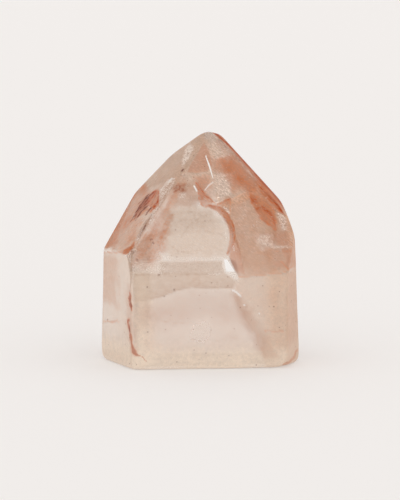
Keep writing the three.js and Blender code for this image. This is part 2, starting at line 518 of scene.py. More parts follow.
FROST_STRIP = [(-6.4, 47.9), (-8.5, 48.1), (-10.6, 45.6), (-10.8, 42.0), (-12.6, 39.9), (-14.2, 37.9),
    (-15.7, 35.6), (-17.1, 33.3), (-15.9, 34.0), (-13.9, 36.7), (-11.8, 39.6), (-10.0, 42.5),
    (-7.9, 45.6)]
FROST_BLOTCH = [(-2.7, 56.8), (-1.6, 56.2), (-2.9, 53.3), (-4.8, 51.5), (-4.8, 53.1), (-3.8, 55.3)]
FROST_DOTS = [(3.7, 50.1), (7.7, 50.3), (7.9, 43.9), (4.5, 43.2), (3.4, 45.6)]
PALE_GREY = [(2.1, 58.3), (3.7, 58.8), (8.8, 53.8), (4.2, 53.1), (2.4, 55.6)]
WHITE_PATCH = [(20.2, 39.9), (22.3, 39.1), (22.8, 35.9), (21.5, 35.5), (20.7, 37.9)]
SPECKLES = [(14.4, 34.6), (19.1, 34.3), (18.8, 31.4), (14.6, 31.7)]
SHOULDER_BAND_LEFT = [(-17.1, 28.1), (-9.1, 28.1), (-9.1, 25.6), (-17.1, 25.6)]
SHOULDER_BAND = [(-10.4, 28.3), (5.7, 28.4), (6.2, 25.5), (-10.4, 25.3)]
PAINTED_GLINT_PATCH = [(6.2, 28.8), (7.0, 28.8), (9.0, 25.9), (6.8, 25.7)]
BELOW_GLINT = [(7.2, 25.7), (9.3, 25.7), (10.4, 23.1), (8.8, 23.4)]
BESIDE_GLINT = [(7.5, 29.1), (9.3, 28.1), (10.1, 24.7), (8.8, 25.9)]
WARM_VEIL = [(3.1, 41.5), (6.8, 38.5), (8.4, 36.3), (9.0, 33.9), (8.6, 32.0), (7.5, 29.6), (9.3, 25.7),
    (10.1, 24.3), (15.6, 24.8), (20.8, 25.2), (23.1, 26.0), (27.0, 26.2), (27.0, 34.0), (23.1, 38.9),
    (21.1, 42.2), (16.4, 46.9), (10.5, 44.4), (7.6, 43.4)]
PALE_MIDDLE = [(-9.2, 40.9), (-2.6, 42.0), (3.1, 40.7), (7.3, 36.8), (8.1, 33.4), (6.7, 29.6),
    (-7.8, 29.3), (-9.7, 33.6)]
LEFT_POINT = [(-25.8, 30.6), (-16.5, 45.6), (-7.5, 54.0), (0.5, 60.5), (1.2, 57.5), (-3.2, 51.0),
    (-8.8, 43.8), (-14.0, 36.6), (-17.2, 32.8), (-20.2, 30.4)]
APEX_ZONE = [(1.0, 58.0), (3.7, 58.6), (17.6, 45.2), (8.0, 41.6), (1.6, 41.5), (-0.3, 43.2), (-2.6, 42.0),
    (-9.2, 41.3), (-6.6, 47.1), (-3.2, 51.1)]
CLEAR_WINDOW = [(-15.0, 18.7), (-10.4, 19.4), (-6.5, 21.0), (-2.1, 21.8), (8.5, 21.6), (11.7, 13.1),
    (16.2, 5.0), (17.2, 0.8), (-15.6, 0.7), (-15.6, 8.2)]
LEFT_TINT = [(-26.5, 28.7), (-23.2, 29.5), (-21.4, 28.7), (-21.8, 22.7), (-21.5, 15.5), (-26.5, 16.3)]
LEFT_SIDE = [(-26.6, 29.0), (-20.2, 30.4), (-17.8, 28.4), (-17.4, 24.6), (-17.5, 0.0), (-27.0, 0.0)]
UNDER_BAND = [(-17.2, 25.6), (-17.0, 17.6), (-15.0, 18.7), (-10.4, 19.4), (-6.5, 21.0), (-2.1, 21.8),
    (8.5, 21.6), (9.8, 23.6), (6.2, 25.5)]
LEFT_GAP = [(-17.6, 25.4), (-13.0, 25.4), (-12.8, 12.0), (-12.6, 5.0), (-12.4, 0.4), (-17.6, 0.4)]
RIGHT_LOW = [(9.0, 22.0), (10.1, 24.3), (15.6, 24.8), (20.8, 25.2), (25.0, 25.8), (27.0, 0.0),
    (17.6, 0.0), (14.3, 9.1), (11.7, 13.1), (8.8, 18.7)]
RIGHT_COLUMN = [(17.4, 24.6), (23.2, 25.6), (23.6, 0.0), (17.2, 0.0)]
FOOT = [(-27.0, 6.6), (-10.0, 6.0), (8.0, 5.6), (20.0, 5.6), (27.0, 6.4), (27.0, -3.0), (-27.0, -3.0)]
UPPER_WINDOW = [(-16.5, 17.0), (-10.4, 19.4), (-6.5, 21.0), (-2.1, 21.8), (9.0, 21.6), (12.0, 13.1),
    (0.0, 14.5), (-16.5, 11.5)]
PALE_TOP = [(-9.2, 40.9), (-2.6, 42.0), (3.1, 40.7), (5.5, 38.2), (2.0, 36.0), (-4.0, 35.5), (-9.0, 36.0)]


# %% [markdown]
# ## Rust and dark specks
#
# Rust lies in crisp streaks and lines. The streaks lean one way on the left of the point and the other
# way on the right, along the scratches of the polish. On the sides away from the photo rust is left to
# noise, which lets it creep along the edges between faces. The gap between the two largest face
# distances is 0 on an edge and grows away from it, so it tells how near the edge is.

# %% Rust
LEFT_LEAN = 57
RIGHT_LEAN = -48
POINT_FADE = (33.0, 37.0)
CORNER_FADE = (15.0, 19.0)
EDGE_FADE = (0.2, 2.2)
CREEP_SIZE = 8.0
HIDDEN_RUST = 0.7
RUST_AREAS = [
    (0.40, LEFT_WEDGE, 0.4, 0.3),
    (0.16, RIM, 0.3, 0.15),
    (0.16, CORE_SPOT, 1.6, 0.8),
    (0.45, SECOND_DARK, 1.0, 0.8),
    (0.14, UNDER_TRIANGLE, 1.4, 0.8),
    (0.28, SMUDGE, 0.8, 0.6),
]
RUST_LEFT = [
    (0.55, 0.3, 0.9, LEFT_PATCH, 0.6, 0.8),
    (0.22, 0.2, 1.0, LEFT_BAND, 1.2, 0.8),
    (0.18, 0.1, 1.3, LEFT_HATCH, 0.8, 0.6),
    (0.16, 0.2, 1.1, CORNER_STAIN, 3.0, 1.8),
    (0.14, 0.2, 1.1, ORANGE_TEXTURE, 1.6, 1.2),
]
RUST_RIGHT = [
    (0.25, 0.3, 0.9, RIGHT_STRIPES, 0.8, 0.4),
    (0.20, 0.2, 1.1, BESIDE_SECOND, 0.8, 0.6),
    (0.12, 0.4, 0.9, UPPER_CLOUD, 2.2, 1.4),
    (0.16, 0.4, 0.9, UPPER_CORE, 2.4, 1.6),
    (0.24, 0.3, 0.9, SECOND_PATCH, 0.5, 0.6),
    (0.20, 0.2, 1.0, TRIANGLE, 0.4, 0.2),
]
RUST_LINES = [
    (0.50, 0.15, [(-11.1, 45.6, 0.2), (-11.0, 43.9, 0.3), (-11.0, 42.2, 0.2)]),
    (0.50, 0.25, [(-16.2, 45.6, 0.3), (-17.9, 43.0, 0.35), (-19.8, 40.0, 0.35), (-21.6, 37.2, 0.3),
        (-25.4, 31.4, 0.25)]),
    (0.75, 0.1, [(3.0, 60.2, 0.15), (4.9, 59.1, 0.25), (7.8, 56.6, 0.25), (11.9, 52.3, 0.25),
        (16.1, 47.7, 0.24), (19.2, 44.7, 0.3), (21.6, 41.9, 0.3), (23.1, 39.5, 0.2)]),
    (0.75, 0.15, [(15.6, 46.4, 0.15), (18.5, 43.7, 0.28), (20.9, 41.2, 0.3), (22.4, 39.2, 0.2)]),
    (0.55, 0.15, [(16.1, 45.1, 0.15), (19.0, 42.4, 0.22), (21.6, 39.9, 0.2)]),
    (0.40, 0.5, [(14.6, 40.6, 0.3), (16.6, 41.2, 0.5), (18.5, 39.7, 0.6), (19.8, 37.2, 0.4)]),
    (0.40, 0.3, [(15.4, 38.8, 0.2), (17.4, 37.6, 0.35), (19.8, 36.0, 0.3)]),
    (0.50, 0.25, [(2.1, 41.6, 0.4), (3.6, 41.7, 0.6), (5.0, 41.5, 0.5)]),
    (0.45, 0.25, [(5.0, 41.6, 0.3), (7.1, 39.7, 0.4), (8.5, 37.3, 0.4), (9.0, 34.1, 0.4),
        (8.3, 31.8, 0.3)]),
    (0.30, 0.25, [(5.6, 40.4, 0.2), (7.2, 38.1, 0.3), (8.0, 35.6, 0.3), (7.9, 33.4, 0.25),
        (7.0, 30.3, 0.2)]),
    (0.50, 0.2, [(4.6, 42.2, 0.25), (6.3, 42.8, 0.35), (7.9, 43.4, 0.3)]),
    (0.45, 0.12, [(-1.1, 47.6, 0.2), (-0.5, 45.4, 0.2), (-0.3, 43.2, 0.22), (0.4, 42.0, 0.25),
        (1.6, 41.5, 0.3)]),
    (0.35, 0.12, [(-0.8, 47.4, 0.2), (1.3, 44.4, 0.22), (3.9, 42.4, 0.25)]),
    (0.30, 0.1, [(7.9, 43.6, 0.2), (7.9, 40.7, 0.2), (7.7, 37.8, 0.2)]),
    (0.45, 0.25, [(-25.4, 29.3, 0.2), (-23.1, 29.8, 0.25), (-20.2, 30.6, 0.3)]),
    (0.70, 0.7, [(-18.5, 20.8, 0.2), (-18.3, 19.1, 0.5), (-17.9, 17.7, 0.6), (-17.7, 15.9, 0.25)]),
    (0.66, 0.6, [(-18.6, 13.3, 0.45), (-18.6, 11.8, 0.4), (-18.5, 10.2, 0.22), (-18.0, 8.4, 0.35),
        (-17.6, 6.6, 0.45), (-17.3, 5.0, 0.5), (-16.6, 4.4, 0.4), (-15.4, 3.9, 0.12),
        (-14.0, 2.8, 0.1)]),
    (0.42, 0.6, [(-25.6, 10.6, 0.25), (-23.5, 11.3, 0.3), (-21.4, 11.8, 0.25)]),
    (0.40, 0.15, [(24.7, 33.7, 0.2), (25.0, 30.5, 0.3), (25.2, 26.7, 0.25)]),
    (0.45, 0.15, [(21.1, 28.0, 0.2), (22.1, 27.0, 0.25), (23.1, 26.3, 0.25), (24.6, 26.1, 0.2)]),
    (0.22, 0.3, [(18.2, 30.7, 0.3), (23.7, 30.6, 0.3)]),
    (0.45, 0.7, [(22.2, 0.8, 0.4), (24.4, 1.8, 0.6), (25.7, 3.2, 0.4)]),
    (0.30, 0.5, [(16.9, 10.1, 0.25), (21.6, 10.0, 0.3)]),
    (0.30, 0.2, [(10.1, 24.3, 0.2), (15.6, 24.8, 0.2), (20.8, 25.2, 0.2), (23.1, 26.0, 0.2)]),
]


def hidden_places(p):
    """Where the sides away from the photo carry stains: on the point and the far corners, because the
    middle of the back shows through the front and is clean."""
    return np.maximum(smooth_step(*POINT_FADE, p[..., 2]), smooth_step(*CORNER_FADE, np.abs(p[..., 0])))


def rust_mask(p, front):
    """Rust with a crisp edge: the streaks and the lines along the cracks."""
    drawn = together(
        areas(p, RUST_AREAS), lines(p, RUST_LINES),
        streaked(p, RUST_LEFT, streaks(p, LEFT_LEAN, 5.0, 0.8, (0.30, 0.62), 101)),
        streaked(p, RUST_RIGHT, streaks(p, RIGHT_LEAN, 5.0, 0.9, (0.30, 0.62), 102)))
    ranked = np.sort(face_distances(p), axis=-1)
    edge = 1 - smooth_step(*EDGE_FADE, ranked[..., -1] - ranked[..., -2])
    crept = smooth_step(0.50, 0.68, cloud_noise(p, CREEP_SIZE, 4, 32)) * (0.25 + 0.75 * edge)
    return together(front * drawn, (1 - front) * HIDDEN_RUST * crept * hidden_places(p))


# %% Dark specks
DARK_AREAS = [
    (0.34, SMUDGE, 1.0, 0.8),
    (0.35, BESIDE_GLINT, 0.6, 0.5),
]
DARK_LINES = [
    (0.40, 0.8, [(-17.5, 38.2, 0.3), (-16.2, 40.1, 0.8), (-14.9, 42.0, 0.9), (-13.6, 43.8, 0.5)]),
    (0.75, 0.2, [(-17.9, 38.0, 0.12), (-16.9, 39.6, 0.22), (-16.2, 40.7, 0.12)]),
    (0.80, 0.25, [(-17.0, 37.7, 0.12), (-15.8, 39.4, 0.22), (-14.6, 41.2, 0.12)]),
    (0.80, 0.2, [(-16.0, 40.6, 0.12), (-15.0, 42.2, 0.24), (-13.7, 43.9, 0.12)]),
    (0.65, 0.2, [(-14.7, 42.2, 0.12), (-13.6, 43.5, 0.18), (-12.4, 44.5, 0.10)]),
    (0.75, 0.25, [(-15.3, 40.0, 0.15), (-14.4, 40.9, 0.24), (-13.5, 41.6, 0.12)]),
    (0.70, 0.25, [(-14.4, 39.4, 0.12), (-13.6, 40.4, 0.20), (-12.6, 41.4, 0.12)]),
    (0.40, 0.2, [(-12.7, 41.8, 0.10), (-12.1, 43.2, 0.16), (-11.5, 44.7, 0.10)]),
    (0.45, 0.2, [(-18.6, 37.0, 0.10), (-18.0, 38.0, 0.14), (-17.4, 38.8, 0.10)]),
    (0.45, 0.3, [(-12.6, 39.6, 0.15), (-14.1, 37.4, 0.25), (-15.9, 34.3, 0.25)]),
    (0.30, 0.3, [(-13.4, 39.2, 0.12), (-14.9, 37.0, 0.15), (-16.5, 34.3, 0.15)]),
    (0.90, 0.1, [(-4.9, 50.2, 0.25), (-4.4, 50.7, 0.25)]),
    (0.35, 0.2, [(-17.9, 31.4, 0.3), (-17.5, 30.6, 0.5)]),
    (0.45, 0.3, [(-18.0, 18.6, 0.2), (-17.6, 17.0, 0.25)]),
    (0.50, 0.2, [(-18.4, 11.0, 0.25), (-18.3, 10.2, 0.25)]),
    (0.60, 0.3, [(-12.9, 33.7, 0.3), (-12.6, 33.6, 0.3)]),
    (0.45, 0.3, [(-9.6, 34.2, 0.25), (-9.3, 34.1, 0.2)]),
    (0.50, 0.2, [(-12.3, 33.0, 0.22), (-12.1, 32.8, 0.22)]),
    (0.45, 0.2, [(-10.9, 32.4, 0.2), (-10.7, 32.2, 0.2)]),
    (0.50, 0.3, [(-16.5, 28.9, 0.3), (-16.3, 28.7, 0.3)]),
    (0.45, 0.1, [(-10.7, 25.2, 0.25), (-10.5, 25.1, 0.25)]),
    (0.60, 0.1, [(-6.9, 21.3, 0.2), (-6.7, 21.3, 0.2)]),
]


def dark_mask(p, front):
    """Dark brown specks and hatching in the heart of the rust and along the cracks."""
    return front * together(areas(p, DARK_AREAS), lines(p, DARK_LINES))


# %% [markdown]
# ## Haze and painted shade
#
# Round the rust the stone is tinted more softly. The wash is orange, like thin paint, and fills the
# corners. The shade is painted shade, in brown: the grey of the pale middle, the bands under the
# shoulder, the broad diagonal low on the right, and the lines where two faces meet. Over the stains at
# the left it only deepens their brown.

# %% Orange wash
WASH_AREAS = [
    (0.50, LEFT_PATCH, 0.7, 0.5),
    (0.75, LEFT_WEDGE, 0.4, 0.2),
    (0.16, FROST_STRIP, 0.4, 0.2),
    (0.40, APEX_TRIANGLE, 0.4, 0.1),
    (0.30, UNDER_TRIANGLE, 1.6, 0.8),
    (0.30, CORE_SPOT, 1.8, 0.8),
    (0.72, RIM, 0.3, 0.1),
    (0.40, BESIDE_SECOND, 0.9, 0.4),
    (0.34, BESIDE_CURVE, 0.6, 0.2),
    (0.24, SIDE_STRIP, 0.8, 0.4),
    (0.15, UPPER_WINDOW, 7.0, 1.0),
    (0.11, MIDDLE_WINDOW, 4.0, 1.0),
    (0.13, DIAGONAL, 2.0, 0.8),
    (0.14, PALE_NECK, 1.6, 0.8),
    (0.14, RIGHT_EDGE, 1.6, 0.4),
    (0.36, RIGHT_STRIPES, 1.6, 0.4),
    (0.34, TRIANGLE, 0.4, 0.15),
    (0.30, SMALL_RUST, 1.0, 0.5),
    (0.05, WARM_VEIL, 1.0, 0.3),
    (0.16, LEFT_TINT, 3.0, 1.5),
]
WASH_LEFT = [
    (0.34, 0.5, 0.8, LEFT_BAND, 1.4, 0.6),
    (0.18, 0.4, 1.0, LEFT_HATCH, 1.0, 0.5),
    (0.20, 0.6, 0.5, CORNER_STAIN, 4.0, 2.0),
    (0.30, 0.5, 0.7, ORANGE_TEXTURE, 3.0, 1.2),
]
WASH_RIGHT = [
    (0.46, 0.75, 0.4, UPPER_CLOUD, 2.6, 1.0),
    (0.50, 0.75, 0.4, UPPER_CORE, 3.0, 1.4),
    (0.50, 0.7, 0.4, SECOND_PATCH, 0.6, 0.6),
]
WASH_LINES = [
    (0.20, 0.3, [(4.8, 57.6, 1.0), (10.0, 52.8, 1.8), (16.0, 46.2, 2.2), (21.5, 40.6, 1.6)]),
    (0.54, 0.25, [(2.4, 41.6, 0.6), (4.9, 41.0, 0.9), (6.8, 39.2, 1.1), (8.0, 37.0, 1.1),
        (8.6, 34.2, 1.0), (8.2, 32.0, 0.8), (7.1, 30.2, 0.5)]),
    (0.16, 0.8, [(-18.5, 22.0, 1.2), (-18.3, 12.0, 1.4), (-17.0, 5.0, 1.2)]),
    (0.20, 0.4, [(20.0, 27.6, 1.0), (24.6, 27.0, 1.2)]),
]


def wash_mask(p, front):
    """Smooth rust-coloured haze round the streaks and in the corners."""
    return front * together(
        areas(p, WASH_AREAS), lines(p, WASH_LINES),
        streaked(p, WASH_LEFT, streaks(p, LEFT_LEAN, 6.0, 1.2, (0.25, 0.70), 131)),
        streaked(p, WASH_RIGHT, streaks(p, RIGHT_LEAN, 6.0, 1.6, (0.25, 0.70), 132)))


# %% Painted brown shade
# Painted shade: darker zones, and a deeper brown over the stains at the left.
PAINTED_SHADE_AREAS = [
    (0.20, PALE_MIDDLE, 3.0, 1.0),
    (0.26, PALE_TOP, 4.0, 1.5),
    (0.38, SHOULDER_BAND, 0.7, 0.3),
    (0.12, SHOULDER_BAND_LEFT, 0.7, 0.3),
    (0.28, UNDER_BAND, 0.6, 0.3),
    (0.17, DIAGONAL, 2.2, 0.8),
    (0.30, PALE_NECK, 1.6, 0.8),
    (0.10, RIGHT_EDGE, 1.6, 0.4),
    (0.56, FROST_STRIP, 0.4, 0.2),
    (0.30, LEFT_POINT, 1.5, 0.6),
    (0.10, RIGHT_LOW, 1.0, 0.4),
    (0.18, CORNER_STAIN, 4.0, 2.0),
    (0.16, ORANGE_TEXTURE, 2.0, 1.2),
    (0.14, UPPER_WINDOW, 7.0, 1.0),
    (0.12, LEFT_SIDE, 1.0, 0.5),
]
# Painted shade: thin darker lines along the edges and the shoulder, and faint ones across the middle.
PAINTED_SHADE_LINES = [
    (0.30, 0.25, [(-15.4, 18.4, 0.2), (-10.4, 19.4, 0.22), (-6.5, 21.0, 0.25), (-2.1, 21.8, 0.22),
        (8.5, 21.6, 0.2)]),
    (0.30, 0.2, [(-16.8, 25.2, 0.15), (-8.0, 25.0, 0.2), (5.7, 25.1, 0.2)]),
    (0.55, 0.3, [(-17.6, 30.8, 0.3), (-17.9, 27.0, 0.25), (-18.0, 22.0, 0.2)]),
    (0.35, 0.2, [(-18.9, 30.0, 0.15), (-18.2, 27.6, 0.15), (-18.1, 24.0, 0.12)]),
    (0.18, 0.3, [(-18.0, 22.0, 0.2), (-18.0, 12.0, 0.2), (-17.9, 1.0, 0.2)]),
    (0.60, 0.15, [(0.9, 58.4, 0.15), (-0.8, 55.2, 0.2), (-2.8, 52.2, 0.22), (-4.9, 50.0, 0.25)]),
    (0.40, 0.15, [(-4.9, 49.9, 0.15), (-7.7, 45.9, 0.2), (-10.0, 42.5, 0.22), (-13.6, 37.3, 0.22),
        (-17.2, 31.8, 0.2)]),
    (0.40, 0.35, [(-5.0, 34.0, 0.1), (-2.4, 37.6, 0.14), (0.4, 39.2, 0.14), (3.0, 39.6, 0.1)]),
    (0.30, 0.3, [(-8.6, 39.4, 0.1), (-4.0, 40.2, 0.13), (0.2, 40.4, 0.1)]),
    (0.28, 0.35, [(-7.4, 37.4, 0.1), (-3.0, 38.6, 0.13), (1.6, 37.6, 0.1)]),
    (0.30, 0.35, [(1.2, 35.6, 0.1), (4.6, 35.2, 0.13), (7.4, 33.4, 0.1)]),
    (0.30, 0.3, [(-8.8, 33.0, 0.1), (-5.6, 31.0, 0.14), (-2.4, 30.2, 0.1)]),
    (0.24, 0.5, [(-14.6, 14.6, 0.1), (-9.0, 12.8, 0.12), (-2.0, 12.4, 0.1)]),
    (0.24, 0.5, [(-3.0, 8.2, 0.1), (3.0, 7.4, 0.12), (9.6, 8.4, 0.1)]),
]


def painted_shade_mask(p, front):
    """Painted shade: smooth brown darkening and thin brown lines."""
    return front * together(areas(p, PAINTED_SHADE_AREAS), lines(p, PAINTED_SHADE_LINES))


# %% [markdown]
# ## Frost and painted glints
#
# Frost is skin that is crushed or etched, and looks white. A glint is a painted highlight: a nearly white
# sliver with a crisp edge, painted where healed cracks and rounded edges throw the light back.

# %% Frost and painted glints
HIDDEN_FROST = 0.45
FAR_CORNER_FADE = (17.0, 20.0)
FROST_AREAS = [
    (0.60, FROST_BLOTCH, 0.9, 0.5),
    (0.30, FROST_DOTS, 2.4, 2.4),
    (0.18, PALE_GREY, 2.0, 1.0),
    (0.38, WHITE_PATCH, 0.6, 0.5),
    (0.40, SPECKLES, 2.0, 2.0),
    (0.30, SMUDGE_WHITE, 0.8, 0.5),
    (0.30, SHOULDER_BAND_LEFT, 0.7, 0.4),
    (0.16, SHOULDER_BAND, 0.7, 0.4),
    # The pale patch below the glint is painted highlight too, drawn as frost.
    (0.45, BELOW_GLINT, 0.5, 0.3),
]
FROST_LEFT = [
    (0.48, 0.1, 1.2, FROST_STRIP, 0.3, 0.2),
]
FROST_LINES = [
    (0.50, 0.4, [(-13.7, 41.2, 0.4), (-12.9, 40.9, 0.5), (-12.2, 40.8, 0.3)]),
    (0.40, 0.2, [(18.8, 31.6, 0.3), (23.7, 31.6, 0.3)]),
    (0.35, 0.2, [(-13.0, 29.3, 0.25), (-3.9, 29.2, 0.25), (6.0, 29.1, 0.25)]),
    (0.55, 0.1, [(2.1, 25.0, 0.2), (5.9, 25.3, 0.25)]),
    (0.55, 0.5, [(6.1, 41.5, 0.2), (7.6, 40.0, 0.35)]),
    (0.55, 0.4, [(6.7, 35.2, 0.2), (6.8, 33.4, 0.3)]),
    (0.55, 0.4, [(8.6, 32.0, 0.25), (8.9, 31.1, 0.3)]),
    (0.30, 0.8, [(-17.0, 0.6, 0.5), (-10.0, 0.5, 0.7), (-4.0, 0.5, 0.5)]),
]
# Painted highlights: the white triangle at the shoulder, the white line down the point, and small sparks.
PAINTED_GLINT_AREAS = [
    (1.00, PAINTED_GLINT_PATCH, 0.25, 0.05),
]
PAINTED_GLINT_LINES = [
    (0.95, 0.0, [(1.3, 54.6, 0.12), (2.4, 51.8, 0.28), (3.4, 48.6, 0.12)]),
    (0.70, 0.05, [(3.4, 47.6, 0.15), (2.4, 46.9, 0.2), (1.3, 45.7, 0.15)]),
    (0.85, 0.0, [(-1.6, 46.7, 0.25), (-0.9, 45.5, 0.25)]),
    (0.70, 0.5, [(8.5, 20.9, 0.35), (10.4, 19.7, 0.45)]),
    (0.50, 0.5, [(-8.3, 47.6, 0.12), (-7.2, 48.3, 0.3), (-6.6, 48.2, 0.1)]),
    (0.70, 0.0, [(11.4, 17.1, 0.25), (11.6, 16.9, 0.25)]),
    (0.60, 0.0, [(15.4, 14.7, 0.2), (15.6, 14.5, 0.2)]),
]


def frost_mask(p, front):
    """Frost drawn on the front, and patches of it on the far corners."""
    drawn = together(
        areas(p, FROST_AREAS), lines(p, FROST_LINES),
        streaked(p, FROST_LEFT, streaks(p, LEFT_LEAN, 3.0, 0.7, (0.30, 0.60), 121)))
    patches = smooth_step(0.55, 0.75, cloud_noise(p, 7.0, 4, 62))
    far = smooth_step(*FAR_CORNER_FADE, np.abs(p[..., 0]))
    return together(front * drawn, (1 - front) * HIDDEN_FROST * patches * far)


def painted_glint_mask(p, front):
    """Painted highlights: nearly white slivers with crisp edges."""
    return front * together(areas(p, PAINTED_GLINT_AREAS), lines(p, PAINTED_GLINT_LINES))


# %% [markdown]
# ## Milk and ground skin
#
# Milk is the stone's own cloudiness, cold where it is grey and warm where rust has tinted it. The
# middle of the back is nearly free of it, because it is seen through the front. The base and the two
# sides that lean back are only ground, not polished, so no dark mirror images of them stand in front.

# %% Milk and ground skin
BASE_MILK, FRONT_MILK, HIDDEN_MILK, CLEAR_BACK = 0.14, 0.06, 0.14, 0.10
BASE_WARMTH, HIDDEN_WARMTH = 0.30, 0.35
LOOKS_DOWN = (0.6, 0.95)
LOOKS_BACK = (0.05, 0.25)
LOOKS_ASIDE = (0.5, 0.8)
LOOKS_FORWARD = (0.02, 0.12)
POLISHED_ABOVE = (26.0, 34.0)
# amount, warmth, outline, softness, raggedness
MILK_AREAS = [
    (0.42, 0.64, LEFT_POINT, 1.2, 0.8),
    (0.45, 0.55, APEX_ZONE, 3.0, 1.0),
    (0.45, 0.28, PALE_MIDDLE, 3.0, 1.0),
    (0.45, 0.92, WARM_VEIL, 0.35, 0.2),
    (0.35, 0.90, CORNER_STAIN, 4.0, 2.0),
    (0.25, 0.85, ORANGE_TEXTURE, 2.0, 1.5),
    (0.30, 0.45, SHOULDER_BAND_LEFT, 0.8, 0.4),
    (0.35, 0.38, SHOULDER_BAND, 0.8, 0.4),
    (0.42, 0.35, UNDER_BAND, 0.5, 0.3),
    (0.15, 0.10, CLEAR_WINDOW, 1.0, 0.3),
    (0.42, 0.45, RIGHT_LOW, 1.2, 0.4),
    (0.52, 0.42, RIGHT_COLUMN, 3.6, 0.6),
    (0.60, 0.55, RIGHT_EDGE, 1.6, 0.4),
    (0.25, 0.35, LEFT_SIDE, 0.6, 0.3),
    (0.25, 0.75, LEFT_TINT, 2.5, 1.0),
    (0.70, 0.12, LEFT_GAP, 4.6, 1.2),
    (0.78, 0.10, FOOT, 5.0, 1.6),
]


def milk_masks(p, front):
    """How cloudy the skin is, and how warm that cloud is. The areas are laid over each other, and each
    pulls the warmth towards its own by its share of the total."""
    cloud = cloud_noise(p, 9.0, 4, 71)
    hidden = hidden_places(p)
    behind, middle = (1 - front) * hidden, (1 - front) * (1 - hidden)
    total = BASE_MILK + FRONT_MILK * front + HIDDEN_MILK * behind - CLEAR_BACK * middle
    total = total * (0.7 + 0.6 * cloud)
    warmth = BASE_WARMTH + HIDDEN_WARMTH * behind + 0.4 * (cloud - 0.5)
    for amount, tone, *shape in MILK_AREAS:
        more = front * amount * area(p, *shape) * (0.8 + 0.4 * cloud)
        total = 1 - (1 - total) * (1 - more)
        warmth = warmth + (tone - warmth) * more / total
    tinted = (1 - front) * 0.8 * smooth_step(0.45, 0.75, cloud_noise(p, 14.0, 3, 78))
    return total, warmth + (1 - warmth) * tinted


def ground_mask(points, normal):
    """Where the stone is only ground: under the base, and low on the two sides that lean back."""
    under = smooth_step(*LOOKS_DOWN, -normal[..., 2])
    aside = smooth_step(*LOOKS_BACK, normal[..., 1]) * smooth_step(*LOOKS_ASIDE, np.abs(normal[..., 0]))
    low = 1 - smooth_step(*POLISHED_ABOVE, points[..., 2])
    return np.maximum(under, aside * low)


def skin_masks(points, normal):
    """Every mask over the skin, each from 0 to 1. Marks drawn on the front are laid only where the skin
    looks forwards. The hidden sides get rust, frost and milk from noise."""
    front = smooth_step(*LOOKS_FORWARD, -normal[..., 1])
    milk, warm = milk_masks(points, front)
    # The shade mask is painted shade and the glint mask is painted highlight.
    return {
        "rust": rust_mask(points, front), "dark": dark_mask(points, front),
        "frost": frost_mask(points, front), "painted_glint": painted_glint_mask(points, front),
        "painted_shade": painted_shade_mask(points, front), "wash": wash_mask(points, front),
        "milk": milk, "warm": warm, "ground": ground_mask(points, normal),
    }


# %% [markdown]
# ## Building the mesh
#
# The grid becomes a mesh of four-sided patches with one point at the tip and one under the base, so
# that the stone is closed all round. The waviness is what hand polishing leaves: a few hundredths of a
# millimetre, enough to make reflections swim and too little to see in the outline.

# %% Stone
WAVE = 0.035
WAVE_SIZE = 5.0


def closed_mesh(name, grid):
    """A mesh from rows of points going down and columns going round; the first and last rows are one
    point each."""
    rows, columns = grid.shape[:2]
    ring = grid[1:-1].reshape(-1, 3)
    points = np.concatenate([grid[:1, 0], ring, grid[-1:, 0]])
    index = 1 + np.arange((rows - 2) * columns).reshape(rows - 2, columns)
    upper, lower = index[:-1], index[1:]
    quads = np.stack([upper, lower, np.roll(lower, -1, 1), np.roll(upper, -1, 1)], axis=-1)
    first, last = index[0], index[-1]
    cap = np.stack([np.zeros_like(first), first, np.roll(first, -1)], axis=-1)
    foot = np.stack([last, np.full_like(last, len(points) - 1), np.roll(last, -1)], axis=-1)
    mesh = bpy.data.meshes.new(name)
    faces = cap.tolist() + quads.reshape(-1, 4).tolist() + foot.tolist()
    mesh.from_pydata(points.tolist(), [], faces)
    mesh.shade_smooth()
    return mesh


def per_point(values):
    """Grid values in the order of the mesh's points."""
    return np.concatenate([values[:1, 0], values[1:-1].reshape(-1), values[-1:, 0]])


def place(name, mesh):
    """An object for the mesh, standing in the frame as it is."""
    body = bpy.data.objects.new(name, mesh)
    bpy.context.scene.collection.objects.link(body)
    return body


wave = WAVE * cloud_noise(skin, WAVE_SIZE, 2, seed=7)
sides = 1 - smooth_step(*LOOKS_DOWN, -skin_normal[..., 2])
surface = chipped(skin - skin_normal * (wave * sides)[..., None], skin_normal)
SHAKE = make_shake(surface)
masks = skin_masks(surface, skin_normal)
stone_mesh = closed_mesh("quartz_stone", (surface + SLIDE) * MM)
for mask_name, mask in masks.items():
    layer = stone_mesh.attributes.new(mask_name, "FLOAT", "POINT")
    layer.data.foreach_set("value", per_point(np.broadcast_to(mask, surface.shape[:2])).astype(np.float32))
stone = place("quartz_stone", stone_mesh)
print("stone triangles:", sum(len(face.vertices) - 2 for face in stone_mesh.polygons))
print("mean of each mask:", {name: round(float(np.mean(mask)), 3) for name, mask in masks.items()})


# %% [markdown]
# ## A short way to write shader maths
#
# A material is a network of small nodes. Writing it as sums and products keeps it readable. The class
# below stands for one output of a node. Adding or multiplying two of them adds the Math node for it.

